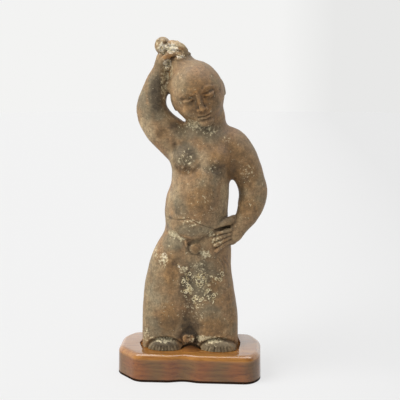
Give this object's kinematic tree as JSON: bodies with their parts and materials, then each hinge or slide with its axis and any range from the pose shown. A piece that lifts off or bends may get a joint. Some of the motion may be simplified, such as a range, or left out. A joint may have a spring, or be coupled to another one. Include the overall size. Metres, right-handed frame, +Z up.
{
  "type": "pottery figure on a wooden stand",
  "caption": "Pottery figure of a bare-chested man with a raised hand and a hand on the hip, in wide trousers, resting in a recessed varnished wooden stand.",
  "frame": {"origin": "centre of the stand's flat underside", "axes": "+Z up, the figure faces -Y, +X is at the viewer's right, the side of the hand on the hip"},
  "size_m": [0.1434, 0.078, 0.3239],
  "materials": {
    "earthenware": "matte unglazed fired clay, grey-brown, with pale mineral crust from burial",
    "stand_wood": "red-brown hardwood under a glossy clear varnish"
  },
  "bodies": {
    "root": {"pottery_figure": "earthenware", "wooden_stand": "stand_wood"}
  },
  "joints": []
}
